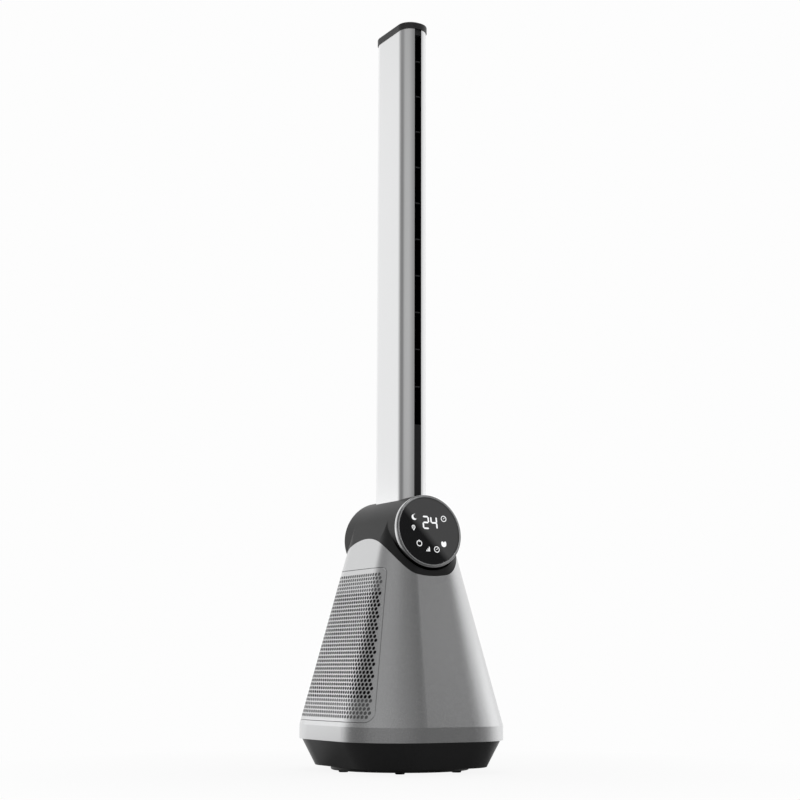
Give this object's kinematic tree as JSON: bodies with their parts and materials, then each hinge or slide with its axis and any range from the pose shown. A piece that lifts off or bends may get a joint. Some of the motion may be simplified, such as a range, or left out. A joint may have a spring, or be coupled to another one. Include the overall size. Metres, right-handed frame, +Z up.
{
  "type": "bladeless tower fan",
  "caption": "Slim bladeless tower fan: tapered silver base with perforated side intakes, round display and a tall column with one air slot, swinging on a round foot.",
  "frame": {"origin": "centre of the bounding box at floor level, on the swing axis under the feet", "axes": "+Z up along the column, -Y towards the front (display and air slot), +X to the picture's right of the front"},
  "size_m": [0.224, 0.2508, 1],
  "materials": {
    "body_silver": "satin metallic silver lacquer",
    "column_silver": "satin",
    "base_black": "satin black",
    "rubber": "matt",
    "acetal": "smooth natural white",
    "steel": "zinc plated",
    "blower_grey": "moulded",
    "circuit_board": "lacquered",
    "motor_steel": "plated",
    "filter_mesh": "black nylon mesh",
    "foam": "foam",
    "neck_grey": "satin dark grey",
    "ring_silver": "satin",
    "display_black": "polished, smoked",
    "sign_white": "translucent white",
    "slot_black": "matt",
    "strip_grey": "satin",
    "cap_grey": "satin"
  },
  "bodies": {
    "stand": {"foot_plate": "base_black", "rubber_feet": "rubber", "swing_gear": "acetal", "pivot_retainer": "steel", "pivot_screws": "steel"},
    "housing": {"base_tray": "base_black", "pivot_bush": "acetal", "glide_pads": "acetal", "base_screws": "steel", "main_board": "circuit_board", "power_inlet": "base_black", "swing_motor": "motor_steel", "swing_motor_screws": "steel", "body_shell": "body_silver", "left_grille": "body_silver", "right_grille": "body_silver", "left_filter": "filter_mesh", "right_filter": "filter_mesh", "frame_mounts": "rubber", "blower_frame": "blower_grey", "fan_shroud": "blower_grey", "shroud_screws": "steel", "diffuser": "blower_grey", "blower_motor": "motor_steel", "tail_cone": "blower_grey", "riser_duct": "blower_grey", "duct_seal": "foam", "neck_housing": "neck_grey", "bezel_ring": "ring_silver", "display_lens": "display_black", "light_box": "sign_white", "display_board": "circuit_board", "column_shell": "column_silver", "nozzle_insert": "slot_black", "blanking_strip": "strip_grey", "top_cap": "cap_grey"},
    "impeller": {"impeller": "blower_grey", "motor_shaft": "steel", "impeller_nut": "steel"},
    "pinion": {"swing_pinion": "acetal", "pinion_shaft": "steel"}
  },
  "joints": [
    {"name": "swing", "type": "hinge", "parent": "stand", "child": "housing", "pos_m": [0, 0, 0], "axis": [0, 0, 1], "range_deg": [-40, 40]},
    {"name": "impeller_spin", "type": "hinge", "parent": "housing", "child": "impeller", "pos_m": [0, 0, 0.13], "axis": [0, 0, 1], "continuous": true},
    {"name": "pinion_turn", "type": "hinge", "parent": "housing", "child": "pinion", "pos_m": [0, 0.03, 0.024], "axis": [0, 0, 1], "range_deg": [-125, 125]}
  ],
  "couplings": [
    {"joint": "pinion_turn", "follows": "swing", "ratio": 3}
  ]
}
